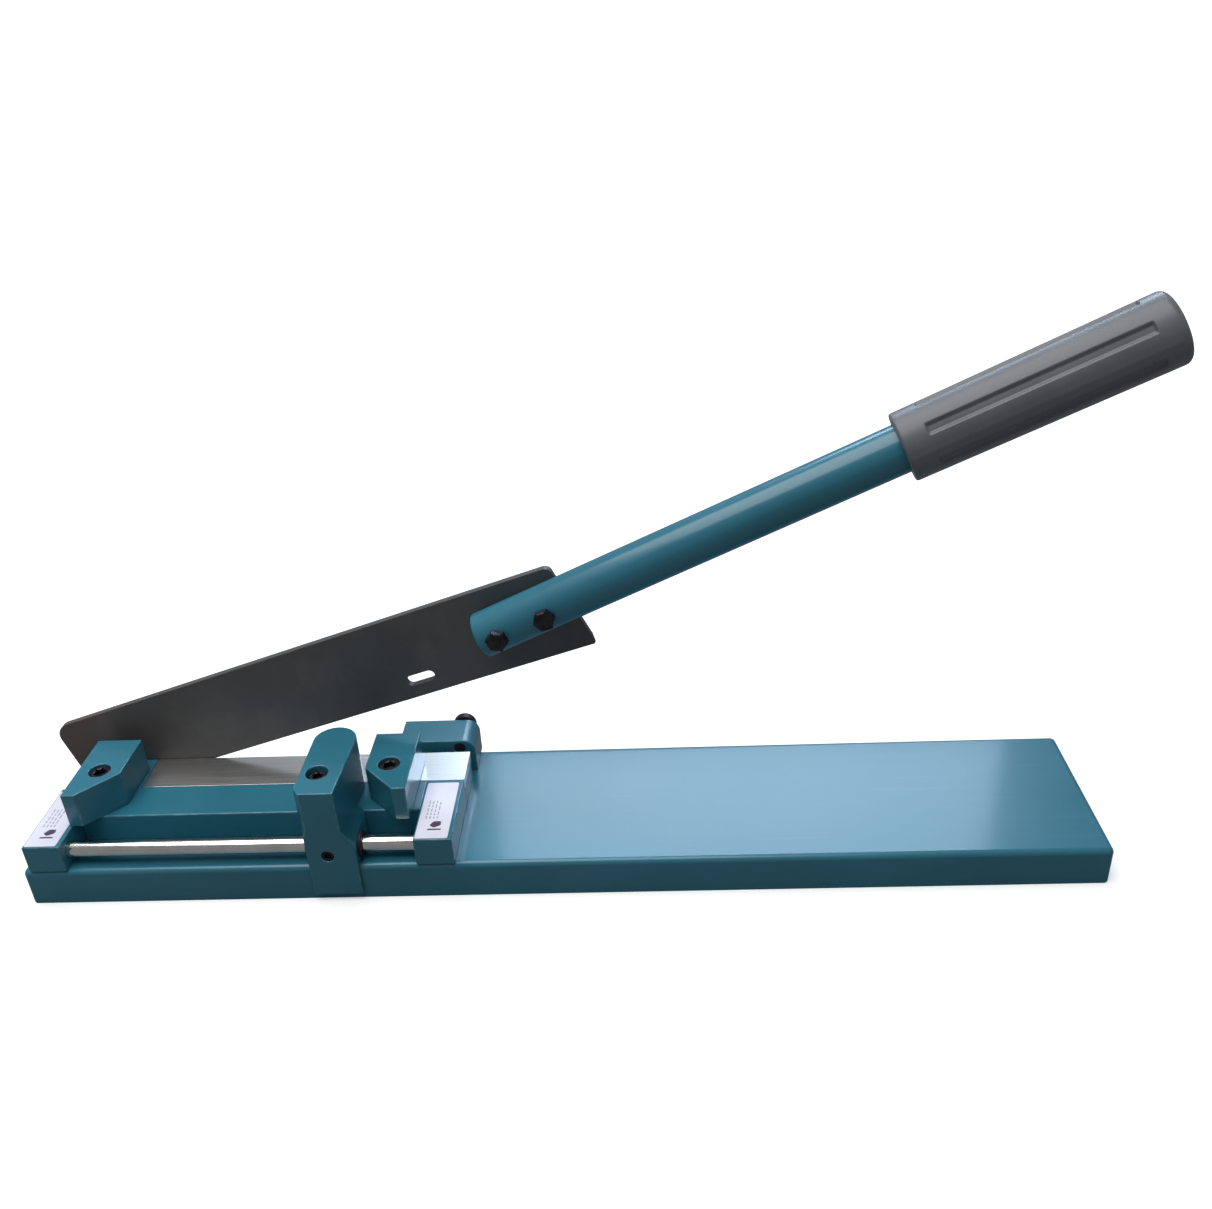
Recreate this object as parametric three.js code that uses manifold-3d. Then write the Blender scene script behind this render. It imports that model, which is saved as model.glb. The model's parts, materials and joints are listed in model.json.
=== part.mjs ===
// Hand-lever tile cutter: a folded steel base, a fixed lower blade between two end blocks,
// a sliding stop on a guide rod and a hinged upper blade with a tube handle.
// Millimetres. X runs along the base from its left end, Y from its front flange to the back,
// Z up from the bench. The finished group is moved so that its origin is the middle of the
// bottom of its own box.

import * as THREE from 'three';
import { mergeVertices } from 'three/addons/utils/BufferGeometryUtils.js';
import Module from 'manifold-3d';

const wasm = await Module();
wasm.setup();

// Driving dimensions --------------------------------------------------------------------

const SEAT = 0.3; // gap beside or under a piece that is shaped by its neighbour
const RUN = 0.12; // running clearance, on the radius or between two sliding faces
const HOLE_PLAY = 0.3; // a screw's clearance in its hole, on the radius
const ROUND = 24; // sides of a small round piece

const BASE = { length: 550, width: 96, height: 21, sheet: 2.5, cornerRadius: 3, bendRadius: 2.8 };

// Everything on the deck stands between the two end blocks.
const BLOCK = { inset: 4.5, length: 19.5, depth: 48, height: 16, span: 180, screwBack: 32 };
const BAR = { depth: 24, screwIn: 39.6 };
const LOWER_BLADE = { depth: 25, thickness: 6 };
const PIVOT_BLOCK = { length: 24, screwAcross: 19, screwBack: 11 };
const LABEL = { width: 16.6, depth: 44.5, thickness: 0.25, inset: 0.8, cornerRadius: 1 };

const ROD = { radius: 4, back: 8, height: 8, seat: 13 };

const JAW = { width: 24, depth: 48, height: 20, front: 16, bevelAcross: 17, bevelBack: 18, nose: 7 };
const LEFT_JAW_OUTSET = 1; // how far the left jaw reaches over the end block
const RIGHT_JAW_INSET = 4; // from the right end block to the right jaw
const JAW_SCREW_BACK = 37;

const GUIDE = { before: 20.3, length: 42, depth: 20.8, height: 20, cornerRadius: 7, screws: [8, 23] };
const GUIDE_BOLT = {
  right: 8.7, // from the block's right end
  height: 15,
  radius: 3,
  headRadius: 6.5,
  headHeight: 5.3,
  headRound: 1.6,
  pad: 2,
};

const SLIDER = {
  left: 150, // rest place of the carriage's left side
  width: 25,
  lip: 2, // how far the front stands before the base
  lipDrop: 17,
  shoulder: 24, // height over the deck where the head begins to widen
  top: 47.5, // height over the deck
  headWidth: 22.4,
  headInset: 1.3, // how far the head stands left of the carriage
  headFront: 17.5,
  headBevel: 4.5,
  reach: 56.5, // front face to the tip of the nose
  slit: 0.8,
  slope: 7.5, // drop of the carriage's shoulder on the right; half as much on the left
  boreGap: 0.36, // round the rod, between the bushes
};
const BUSH = { radius: 5.5, flangeRadius: 6.6, flange: 1.6, length: 3 };
const CLAMP = { across: 7.5, back: 15.4, under: 1.5 }; // slider's screw that closes the slit
const LOCK_ACROSS = 10.5; // from the slider's left side to its lock screw

const LEVER = { restAngle: 17.3, openAngle: 37.3 };
const PIVOT = { right: 34.6, height: 10.5, radius: 4, depth: 18 };
const BLADE = {
  tail: 30.2, // pivot to the left end
  nose: 272, // pivot to the lower corner of the right end
  noseTop: 265, // pivot to the upper corner of the right end
  below: 8.8, // pivot down to the cutting edge
  aboveTail: 38.3, // pivot line up to the back of the blade, at its left end
  aboveNose: 40.8, // the same at its right end
  thickness: 4,
  tailRadius: 8,
  noseRadius: 4,
  land: 0.6, // flat left in front of the ground bevel
  bevelRise: 5.2,
};
const SLOT = { at: 176, up: 1.7, length: 16, width: 6 };

const TUBE = { radius: 11.8, wall: 2, length: 341, angle: 7.2, at: 221.3, up: 21.4, gap: 0.05 };
const HANDLE_BOLT_STEPS = [10.6, 37.3]; // along the tube from its lower end
const GRIP = {
  start: 224.7, // along the tube from its lower end
  length: 126,
  frontRadius: 16.8,
  endRadius: 17.3,
  endWall: 9,
  endRound: 3.5,
  mouthBreak: 0.8,
  grooves: 6,
  firstGroove: 55, // degrees from straight up, towards the front
  grooveRadius: 3.5,
  grooveDepth: 1.4,
  grooveMargin: 12.5, // from either end to the groove
};

const M5 = { radius: 2.5, headRadius: 4.25, headHeight: 5, key: 2.3 };
const M6 = { radius: 3, headRadius: 5, headHeight: 6, key: 2.9 };
const M6_HEX = { radius: 3, across: 10, height: 4, tail: 2.5 };
const M6_NUT = { across: 10, height: 5 };
const M6_WASHER = { radius: 6.2, thickness: 1.4 };
const M8_HEAD = { across: 13, height: 5.3 };
const M8_WASHER = { radius: 8.2, thickness: 1.6 };
const M8_SPRING = { radius: 7.2, thickness: 1.1 };
const COUNTERBORE = { radius: 5.6, depth: 7 };
const SET_SCREW = { radius: 2.5, key: 1.5 };
const LOCK_SCREW = { radius: 3, length: 4.4, key: 1.7, pad: 1 };

// Places that follow from the sizes above --------------------------------------------------

const deck = BASE.height;
const blockTop = deck + BLOCK.height;
const barLeft = BLOCK.inset + BLOCK.length;
const barRight = barLeft + BLOCK.span;
const rightBlockEnd = barRight + BLOCK.length;
const barFront = BLOCK.depth - BAR.depth;
const rowFront = BLOCK.depth; // front of the row that carries the lower blade
const cutFace = rowFront + LOWER_BLADE.depth;
const rodHeight = deck + ROD.height;
const bladeFront = cutFace + SEAT;
const bladeBack = bladeFront + BLADE.thickness;
const pivotHeight = deck + PIVOT.height;
const lowerBladeLeft = barLeft + PIVOT_BLOCK.length + SEAT;
const lowerBladeUnder = blockTop - LOWER_BLADE.thickness;
const jawTop = blockTop + JAW.height;
const leftJawLeft = barLeft - LEFT_JAW_OUTSET;
const rightJawRight = barRight - RIGHT_JAW_INSET;
const guideLeft = barRight - GUIDE.before;
const guideRight = guideLeft + GUIDE.length;
const guideFront = bladeBack + SEAT;
const guideBack = guideFront + GUIDE.depth;

// Finishes -------------------------------------------------------------------------------

const finish = (color, roughness, metalness) => () =>
  new THREE.MeshStandardMaterial({ color, roughness, metalness });
const tealPaint = finish(0x2d6e87, 0.35, 0.1);
const blackenedSteel = finish(0x3a3532, 0.5, 0.7);
const polishedSteel = finish(0xc8c6c2, 0.25, 0.95);
const chromedSteel = finish(0xd8d6d2, 0.12, 1);
const blackOxide = finish(0x2b2830, 0.5, 0.7);
const bronze = finish(0x8a6a34, 0.4, 0.9);
const blackNylon = finish(0x1c1b20, 0.6, 0);
const gripRubber = finish(0x46474e, 0.75, 0);
const labelFilm = finish(0xe6e6f8, 0.45, 0);

// Solids ---------------------------------------------------------------------------------

// Turns a closed geometry into a manifold solid with outward faces.
function solid(geometry) {
  const bare = geometry.clone();
  bare.deleteAttribute('normal');
  bare.deleteAttribute('uv');
  const merged = mergeVertices(bare);
  const points = merged.getAttribute('position');
  const index = merged.getIndex();
  const corners = [];
  let volume = 0;
  const a = new THREE.Vector3();
  const b = new THREE.Vector3();
  const c = new THREE.Vector3();
  for (let i = 0; i < index.count; i += 3) {
    const [p, q, r] = [index.getX(i), index.getX(i + 1), index.getX(i + 2)];
    if (p === q || q === r || r === p) continue;
    corners.push(p, q, r);
    a.fromBufferAttribute(points, p);
    b.fromBufferAttribute(points, q);
    c.fromBufferAttribute(points, r);
    volume += a.dot(b.cross(c));
  }
  if (volume < 0) corners.reverse();
  return new wasm.Manifold(new wasm.Mesh({
    numProp: 3,
    vertProperties: new Float32Array(points.array),
    triVerts: new Uint32Array(corners),
  }));
}

function geometryOf(shape) {
  const mesh = shape.getMesh();
  const geometry = new THREE.BufferGeometry();
  geometry.setAttribute('position', new THREE.BufferAttribute(mesh.vertProperties, 3));
  geometry.setIndex(new THREE.BufferAttribute(mesh.triVerts, 1));
  const flat = geometry.toNonIndexed();
  flat.computeVertexNormals();
  return flat;
}

function box(x0, x1, y0, y1, z0, z1) {
  const geometry = new THREE.BoxGeometry(x1 - x0, y1 - y0, z1 - z0);
  geometry.translate((x0 + x1) / 2, (y0 + y1) / 2, (z0 + z1) / 2);
  return solid(geometry);
}

// Turns a geometry built along its own Y axis to run along X, Y or Z.
function along(geometry, axis) {
  if (axis === 'x') return geometry.rotateZ(-Math.PI / 2);
  if (axis === 'z') return geometry.rotateX(Math.PI / 2);
  return geometry;
}

// A round bar from one place to another along an axis; the other two coordinates are given.
function bar(axis, radius, from, to, [first, second], sides = ROUND) {
  const geometry = along(new THREE.CylinderGeometry(radius, radius, to - from, sides), axis);
  const middle = (from + to) / 2;
  if (axis === 'x') geometry.translate(middle, first, second);
  if (axis === 'y') geometry.translate(first, middle, second);
  if (axis === 'z') geometry.translate(first, second, middle);
  return solid(geometry);
}

// A turned piece whose profile is [radius, distance] pairs, with its axis on the origin.
function turned(axis, profile, sides = ROUND) {
  const points = profile.map(([radius, distance]) => new THREE.Vector2(radius, distance));
  return solid(along(new THREE.LatheGeometry(points, sides), axis));
}

function outline(points) {
  return new THREE.Shape(points.map(([x, y]) => new THREE.Vector2(x, y)));
}

// A plan outline raised from one height to another.
function raised(shape, from, to, curveSegments = 12) {
  const geometry = new THREE.ExtrudeGeometry(shape, {
    depth: to - from,
    bevelEnabled: false,
    curveSegments,
  });
  return solid(geometry.translate(0, 0, from));
}

// An outline seen from the front, in X and Z, carried from one depth to another.
function carried(shape, front, back, curveSegments = 12) {
  const geometry = new THREE.ExtrudeGeometry(shape, {
    depth: back - front,
    bevelEnabled: false,
    curveSegments,
  });
  return solid(geometry.rotateX(Math.PI / 2).translate(0, back, 0));
}

function roundedRectangle(x0, x1, y0, y1, radius) {
  const shape = new THREE.Shape();
  shape.moveTo(x0 + radius, y0);
  shape.absarc(x1 - radius, y0 + radius, radius, -Math.PI / 2, 0);
  shape.absarc(x1 - radius, y1 - radius, radius, 0, Math.PI / 2);
  shape.absarc(x0 + radius, y1 - radius, radius, Math.PI / 2, Math.PI);
  shape.absarc(x0 + radius, y0 + radius, radius, Math.PI, 1.5 * Math.PI);
  return shape;
}

function hexagon(across) {
  const corner = across / Math.sqrt(3);
  const points = [];
  for (let i = 0; i < 6; i += 1) {
    const turn = (i * Math.PI) / 3;
    points.push([corner * Math.cos(turn), corner * Math.sin(turn)]);
  }
  return outline(points);
}

function place(parent, name, shape, material, position = [0, 0, 0], rotation = [0, 0, 0]) {
  const mesh = new THREE.Mesh(geometryOf(shape), material());
  mesh.name = name;
  mesh.position.set(...position);
  mesh.rotation.set(...rotation);
  parent.add(mesh);
  return mesh;
}

// Fasteners ------------------------------------------------------------------------------

// Socket-head screw along Z: the head stands on Z = 0 and the shank runs down from there.
function capScrew(size, length) {
  const break_ = size.radius * 0.15;
  const body = turned('z', [
    [0, -length],
    [size.radius - break_, -length],
    [size.radius, -length + break_],
    [size.radius, 0],
    [size.headRadius, 0],
    [size.headRadius, size.headHeight - break_],
    [size.headRadius - break_, size.headHeight],
    [0, size.headHeight],
  ]);
  const socket = raised(hexagon(size.key * 2), size.headHeight * 0.45, size.headHeight + 1);
  return body.subtract(socket);
}

// Six-sided bolt along Z, placed as capScrew.
function hexBolt(size, length) {
  return bar('z', size.radius, -length, 1, [0, 0]).add(raised(hexagon(size.across), 0, size.height));
}

// Headless screw along Z, its socket at the top and its point down.
function setScrew(size) {
  const break_ = size.radius * 0.2;
  const body = turned('z', [
    [0, -size.length],
    [size.radius - break_, -size.length],
    [size.radius, -size.length + break_],
    [size.radius, -break_],
    [size.radius - break_, 0],
    [0, 0],
  ]);
  return body.subtract(raised(hexagon(size.key * 2), -size.length * 0.5, 1));
}

function nut(size, boltRadius) {
  const bore = bar('z', boltRadius + RUN, -1, size.height + 1, [0, 0]);
  return raised(hexagon(size.across), 0, size.height).subtract(bore);
}

function washer(size, boltRadius) {
  const bore = bar('z', boltRadius + RUN, -1, size.thickness + 1, [0, 0]);
  return bar('z', size.radius, 0, size.thickness, [0, 0]).subtract(bore);
}

// Screws that come up through the deck: each holds one of the pieces that stand on it.
// Grip is how far a screw reaches above the deck.
const rowMiddle = rowFront + LOWER_BLADE.depth / 2;
const guideMiddle = guideFront + GUIDE.depth / 2;
const DECK_SCREWS = [
  ['left_block_screw', BLOCK.inset + BLOCK.length / 2, BLOCK.screwBack, 11],
  ['right_block_screw', barRight + BLOCK.length / 2, BLOCK.screwBack, 11],
  ['bar_screw_1', barLeft + BAR.screwIn, barFront + BAR.depth / 2, 12],
  ['bar_screw_2', barRight - BAR.screwIn, barFront + BAR.depth / 2, 12],
  ['blade_screw_1', lowerBladeLeft + LOWER_BLADE.depth, rowMiddle, BLOCK.height - 2],
  ['blade_screw_2', rightBlockEnd - LOWER_BLADE.depth, rowMiddle, BLOCK.height - 2],
  ['pivot_block_screw', barLeft + PIVOT_BLOCK.screwAcross, rowFront + PIVOT_BLOCK.screwBack, 9],
  ['guide_screw_1', guideLeft + GUIDE.screws[0], guideMiddle, 9],
  ['guide_screw_2', guideLeft + GUIDE.screws[1], guideMiddle, 9],
].map(([name, x, y, grip]) => ({ name, x, y, grip }));

// Round holes for the deck screws through everything between two heights.
function deckHoles(from, to) {
  return DECK_SCREWS.map(({ x, y }) => bar('z', M5.radius + HOLE_PLAY, from, to, [x, y]));
}

function drilled(shape, holes) {
  return holes.reduce((rest, hole) => rest.subtract(hole), shape);
}

// A piece that stands on the deck, with a blind hole wherever a deck screw ends in it.
function standing(shape) {
  const holes = DECK_SCREWS.map(({ x, y, grip }) =>
    bar('z', M5.radius + HOLE_PLAY, deck - 1, deck + grip + 1, [x, y]));
  return drilled(shape, holes);
}

// Base -----------------------------------------------------------------------------------

// A plan slab with rounded upright corners and a rounded upper edge, cut off flat below.
function foldedCap(inset, top, edge) {
  const [x0, x1] = [inset, BASE.length - inset];
  const [y0, y1] = [inset, BASE.width - inset];
  const corner = Math.max(BASE.cornerRadius - inset, edge + 0.2);
  const shape = roundedRectangle(x0 + edge, x1 - edge, y0 + edge, y1 - edge, corner - edge + 0.1);
  const geometry = new THREE.ExtrudeGeometry(shape, {
    depth: top + BASE.height - edge,
    bevelEnabled: true,
    bevelThickness: edge,
    bevelSize: edge,
    bevelSegments: 4,
    curveSegments: 4,
  });
  const slab = solid(geometry.translate(0, 0, -BASE.height));
  return slab.intersect(box(-1, BASE.length + 1, -1, BASE.width + 1, 0, top + 1));
}

function baseTray() {
  const outside = foldedCap(0, BASE.height, BASE.bendRadius);
  const inside = foldedCap(BASE.sheet, BASE.height - BASE.sheet, BASE.bendRadius - BASE.sheet + 0.3);
  const opening = box(
    BASE.sheet + BASE.cornerRadius,
    BASE.length - BASE.sheet - BASE.cornerRadius,
    BASE.sheet + BASE.cornerRadius,
    BASE.width - BASE.sheet - BASE.cornerRadius,
    -1,
    BASE.height / 2,
  );
  const hollow = inside.add(inside.translate(0, 0, -BASE.height / 2)).add(opening);
  return drilled(outside.subtract(hollow), deckHoles(BASE.height / 2, deck + 1));
}

function endBlock(left, rodSide) {
  const rodHole = bar('x', ROD.radius + RUN, rodSide[0], rodSide[1], [ROD.back, rodHeight]);
  const setX = left + BLOCK.length / 2;
  const setHole = bar('z', SET_SCREW.radius + RUN, deck - 1, rodHeight, [setX, ROD.back]);
  const block = box(left, left + BLOCK.length, 0, BLOCK.depth, deck, blockTop);
  return standing(block).subtract(rodHole).subtract(setHole);
}

function rodSetScrew(parent, name, left) {
  const top = rodHeight - ROD.radius - RUN;
  const x = left + BLOCK.length / 2;
  const shape = setScrew({ ...SET_SCREW, length: top - deck - SEAT });
  place(parent, name, shape, blackOxide, [x, ROD.back, deck + SEAT], [Math.PI, 0, 0]);
}

function jawPlan() {
  return outline([
    [0, JAW.front],
    [JAW.nose, JAW.front],
    [JAW.nose + JAW.bevelAcross, JAW.front + JAW.bevelBack],
    [JAW.width, JAW.front + JAW.depth],
    [0, JAW.front + JAW.depth],
  ]);
}

// A jaw with its bevelled corner to the right; the right jaw is the same piece mirrored.
function jaw() {
  const middle = JAW.width / 2;
  const bore = bar('z', M6.radius + HOLE_PLAY, blockTop - 1, jawTop + 1, [middle, JAW_SCREW_BACK]);
  const recess = bar('z', COUNTERBORE.radius, jawTop - COUNTERBORE.depth, jawTop + 1,
    [middle, JAW_SCREW_BACK]);
  return raised(jawPlan(), blockTop, jawTop).subtract(bore).subtract(recess);
}

function jawScrewHole(x) {
  return bar('z', M6.radius + HOLE_PLAY, deck + 3, blockTop + 1, [x, JAW_SCREW_BACK]);
}

// Square bar behind the moving blade, with its upper right edge rounded.
function guideBlock() {
  const round = GUIDE.cornerRadius;
  const top = deck + GUIDE.height;
  const face = new THREE.Shape();
  face.moveTo(guideLeft, deck);
  face.lineTo(guideRight, deck);
  face.absarc(guideRight - round, top - round, round, 0, Math.PI / 2);
  face.lineTo(guideLeft, top);
  const hole = bar('y', GUIDE_BOLT.radius + RUN, guideFront - 1, guideBack + 1, guideBoltPlace());
  return standing(carried(face, guideFront, guideBack, 8)).subtract(hole);
}

function guideBoltPlace() {
  return [guideRight - GUIDE_BOLT.right, deck + GUIDE_BOLT.height];
}

// A bolt from behind presses a small pad against the back of the blade.
function guideBoltParts(parent) {
  const { radius, headRadius, headHeight, headRound, pad } = GUIDE_BOLT;
  const [x, z] = guideBoltPlace();
  const padFront = bladeBack + RUN;
  const padBack = padFront + pad;
  const headFace = guideBack + SEAT;
  const profile = [
    [0, -(headFace - padBack - RUN)],
    [radius, -(headFace - padBack - RUN)],
    [radius, 0],
    [headRadius, 0],
    [headRadius, headHeight - headRound],
    [headRadius - headRound * 0.3, headHeight - headRound * 0.3],
    [headRadius - headRound, headHeight],
    [0, headHeight],
  ];
  const backwards = [-Math.PI / 2, 0, 0];
  place(parent, 'guide_adjust_bolt', turned('z', profile), blackOxide, [x, headFace, z], backwards);
  place(parent, 'guide_pad', bar('y', radius - RUN, padFront, padBack, [x, z]), blackNylon);
}

function fixedParts(parent) {
  const leftX = BLOCK.inset;
  const jawMiddle = leftJawLeft + JAW.width / 2;
  const farJawMiddle = rightJawRight - JAW.width / 2;
  place(parent, 'base_tray', baseTray(), tealPaint);
  place(parent, 'left_end_block', endBlock(leftX, [barLeft - ROD.seat, barLeft + 1]), tealPaint);
  place(parent, 'right_end_block', endBlock(barRight, [barRight - 1, barRight + ROD.seat]),
    tealPaint);
  const rod = turned('x', [
    [0, barLeft - ROD.seat + SEAT],
    [ROD.radius, barLeft - ROD.seat + SEAT],
    [ROD.radius, barRight + ROD.seat - SEAT],
    [0, barRight + ROD.seat - SEAT],
  ], 48);
  place(parent, 'guide_rod', rod, chromedSteel, [0, ROD.back, rodHeight]);
  rodSetScrew(parent, 'left_rod_set_screw', leftX);
  rodSetScrew(parent, 'right_rod_set_screw', barRight);

  const guideBar = standing(box(barLeft, barRight, barFront, rowFront, deck, blockTop));
  place(parent, 'guide_bar', drilled(guideBar, [jawScrewHole(jawMiddle), jawScrewHole(farJawMiddle)]),
    tealPaint);
  const rail = box(lowerBladeLeft, rightBlockEnd, rowFront, cutFace, deck, lowerBladeUnder);
  place(parent, 'blade_rail', drilled(rail, deckHoles(deck - 1, blockTop)), tealPaint);
  const lowerBlade = box(lowerBladeLeft, rightBlockEnd, rowFront, cutFace, lowerBladeUnder, blockTop);
  place(parent, 'lower_blade', standing(lowerBlade), polishedSteel);

  const pivotHole = bar('y', PIVOT.radius + RUN, cutFace - PIVOT.depth - 1, cutFace + 1,
    [PIVOT.right, pivotHeight]);
  const pivotBlock = box(barLeft, barLeft + PIVOT_BLOCK.length, rowFront, cutFace, deck, blockTop);
  place(parent, 'pivot_block', standing(pivotBlock).subtract(pivotHole), tealPaint);

  place(parent, 'left_jaw', jaw().translate(leftJawLeft, 0, 0), tealPaint);
  place(parent, 'right_jaw', jaw().mirror([1, 0, 0]).translate(rightJawRight, 0, 0), tealPaint);
  const jawSeat = jawTop - COUNTERBORE.depth;
  const jawScrew = capScrew(M6, jawSeat - deck - 5);
  place(parent, 'left_jaw_screw', jawScrew, blackOxide, [jawMiddle, JAW_SCREW_BACK, jawSeat]);
  place(parent, 'right_jaw_screw', jawScrew, blackOxide, [farJawMiddle, JAW_SCREW_BACK, jawSeat]);

  place(parent, 'guide_block', guideBlock(), tealPaint);
  guideBoltParts(parent);
  for (const { name, x, y, grip } of DECK_SCREWS) {
    const shape = capScrew(M5, BASE.sheet + grip);
    place(parent, name, shape, blackOxide, [x, y, deck - BASE.sheet], [Math.PI, 0, 0]);
  }
  for (const [name, left] of [['left_label', leftX], ['right_label', barRight]]) {
    const shape = roundedRectangle(left + LABEL.inset, left + LABEL.inset + LABEL.width,
      LABEL.inset, LABEL.inset + LABEL.depth, LABEL.cornerRadius);
    place(parent, name, raised(shape, blockTop, blockTop + LABEL.thickness, 4), labelFilm);
  }
}

// Pivot ----------------------------------------------------------------------------------

function pivotParts(parent) {
  const stack = bladeBack + RUN;
  const washerFace = stack + M8_SPRING.thickness;
  const headFace = washerFace + M8_WASHER.thickness;
  const shankEnd = cutFace - PIVOT.depth;
  const shank = bar('z', PIVOT.radius, 0, headFace - shankEnd, [0, 0], 48);
  const head = raised(hexagon(M8_HEAD.across), headFace - shankEnd, headFace - shankEnd + M8_HEAD.height);
  const backwards = [-Math.PI / 2, 0, 0];
  const at = (y) => [PIVOT.right, y, pivotHeight];
  place(parent, 'pivot_bolt', shank.add(head), blackOxide, at(shankEnd), backwards);
  place(parent, 'pivot_spring_washer', washer(M8_SPRING, PIVOT.radius), blackOxide, at(stack), backwards);
  place(parent, 'pivot_washer', washer(M8_WASHER, PIVOT.radius), blackOxide, at(washerFace), backwards);
}

// Slider ---------------------------------------------------------------------------------

const sliderFront = -SLIDER.lip;
const sliderFloor = deck + SEAT;
const headFloor = blockTop + SEAT;
const sliderTop = deck + SLIDER.top;
const shoulder = deck + SLIDER.shoulder;
const sliderRight = SLIDER.left + SLIDER.width;
const headLeft = SLIDER.left - SLIDER.headInset;
const headRight = headLeft + SLIDER.headWidth;
const frontLeft = headLeft + SLIDER.headBevel * 0.7;
const carriageBack = barFront - SEAT;
const lockX = SLIDER.left + LOCK_ACROSS;
const clampPlace = [SLIDER.left + CLAMP.across, CLAMP.back];

// The head's plan: bevelled at the front left, flared to the right, with a round nose.
function headPlan() {
  const radius = (headRight - headLeft) / 2;
  const noseY = sliderFront + SLIDER.reach - radius;
  const shape = new THREE.Shape();
  shape.moveTo(frontLeft, sliderFront);
  shape.lineTo(frontLeft + SLIDER.headFront, sliderFront);
  shape.absarc(headLeft + radius, noseY, radius, 0, Math.PI);
  shape.lineTo(headLeft, sliderFront + SLIDER.headBevel);
  return shape;
}

// The carriage seen from the front: wide at the rod, sloping in to the head on the right.
function carriageFace() {
  const slope = SLIDER.slope;
  return outline([
    [SLIDER.left, deck - SLIDER.lipDrop],
    [sliderRight, deck - SLIDER.lipDrop],
    [sliderRight, shoulder - slope],
    [frontLeft + SLIDER.headFront, shoulder],
    [frontLeft, shoulder],
    [SLIDER.left, shoulder - slope / 2],
  ]);
}

function slider() {
  const head = raised(headPlan(), headFloor, sliderTop, 16);
  const upright = raised(headPlan(), sliderFloor, sliderTop, 16)
    .intersect(box(headLeft - 1, sliderRight, sliderFront - 1, carriageBack, shoulder - 3, sliderTop));
  const face = carriageFace();
  const carriage = carried(face, sliderFront, carriageBack)
    .intersect(box(headLeft - 1, sliderRight + 1, sliderFront - 1, carriageBack, sliderFloor, sliderTop));
  const lip = carried(face, sliderFront, -SEAT)
    .intersect(box(headLeft - 1, sliderRight + 1, sliderFront - 1, 0, 0, sliderFloor + 1));
  const body = head.add(upright).add(carriage).add(lip);

  const [clampX, clampY] = clampPlace;
  const rodBore = bar('x', ROD.radius + SLIDER.boreGap, headLeft - 2, sliderRight + 2, [ROD.back, rodHeight]);
  const leftSeat = bar('x', BUSH.radius + RUN, headLeft - 2, SLIDER.left + BUSH.length + RUN,
    [ROD.back, rodHeight]);
  const rightSeat = bar('x', BUSH.radius + RUN, sliderRight - BUSH.length - RUN, sliderRight + 2,
    [ROD.back, rodHeight]);
  const slit = box(headLeft - 2, sliderRight + 2, ROD.back, carriageBack + 1,
    rodHeight - SLIDER.slit / 2, rodHeight + SLIDER.slit / 2);
  const clampHole = bar('z', M5.radius + RUN, sliderFloor + 1, sliderTop, [clampX, clampY]);
  const recess = bar('z', COUNTERBORE.radius, sliderTop - COUNTERBORE.depth, sliderTop + 1,
    [clampX, clampY]);
  const lockHole = bar('y', LOCK_SCREW.radius + RUN * 1.5, sliderFront - 1, ROD.back, [lockX, rodHeight]);
  return drilled(body, [rodBore, leftSeat, rightSeat, slit, clampHole, recess, lockHole]);
}

// Flanged bush along X with its flange on X = 0 and its sleeve towards +X.
function bush() {
  const flange = bar('x', BUSH.flangeRadius, -BUSH.flange, 0, [0, 0]);
  const sleeve = bar('x', BUSH.radius, -0.5, BUSH.length, [0, 0]);
  const bore = bar('x', ROD.radius + RUN, -BUSH.flange - 1, BUSH.length + 1, [0, 0], 48);
  return flange.add(sleeve).subtract(bore);
}

function sliderParts(parent) {
  const [clampX, clampY] = clampPlace;
  const clampSeat = sliderTop - COUNTERBORE.depth;
  place(parent, 'slider', slider(), tealPaint);
  place(parent, 'slider_bush_left', bush(), blackNylon, [SLIDER.left - RUN, ROD.back, rodHeight]);
  place(parent, 'slider_bush_right', bush().mirror([1, 0, 0]), blackNylon,
    [sliderRight + RUN, ROD.back, rodHeight]);
  place(parent, 'slider_clamp_screw', capScrew(M5, clampSeat - sliderFloor - CLAMP.under), blackOxide,
    [clampX, clampY, clampSeat]);
  const rodFront = ROD.back - ROD.radius;
  const padBack = rodFront - RUN;
  const padFront = padBack - LOCK_SCREW.pad;
  place(parent, 'slider_lock_pad', bar('y', LOCK_SCREW.radius - RUN, padFront, padBack,
    [lockX, rodHeight]), bronze);
  place(parent, 'slider_lock_screw', setScrew(LOCK_SCREW), blackOxide,
    [lockX, padFront - RUN - LOCK_SCREW.length, rodHeight], [Math.PI / 2, 0, 0]);
}

// Lever ----------------------------------------------------------------------------------

// The lever group turns about the pivot: local X runs along the blade, local Z across it.
function bladeOutline() {
  const { tail, nose, noseTop, below, aboveTail, aboveNose, tailRadius, noseRadius } = BLADE;
  // At full opening the tail's lower edge lies flat along the deck.
  const open = THREE.MathUtils.degToRad(LEVER.openAngle);
  const clear = PIVOT.height - SEAT;
  const heelUp = (tail * Math.sin(open) - clear) / Math.cos(open);
  const heelAlong = (clear - below * Math.cos(open)) / Math.sin(open);
  const shape = new THREE.Shape();
  shape.moveTo(-heelAlong, -below);
  shape.lineTo(nose - 1, -below);
  shape.lineTo(nose, -below + 1);
  shape.absarc(noseTop - noseRadius, aboveNose - noseRadius, noseRadius, 0, Math.PI / 2);
  shape.absarc(-tail + tailRadius, aboveTail - tailRadius, tailRadius, Math.PI / 2, Math.PI);
  shape.lineTo(-tail, heelUp);
  return shape;
}

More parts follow.
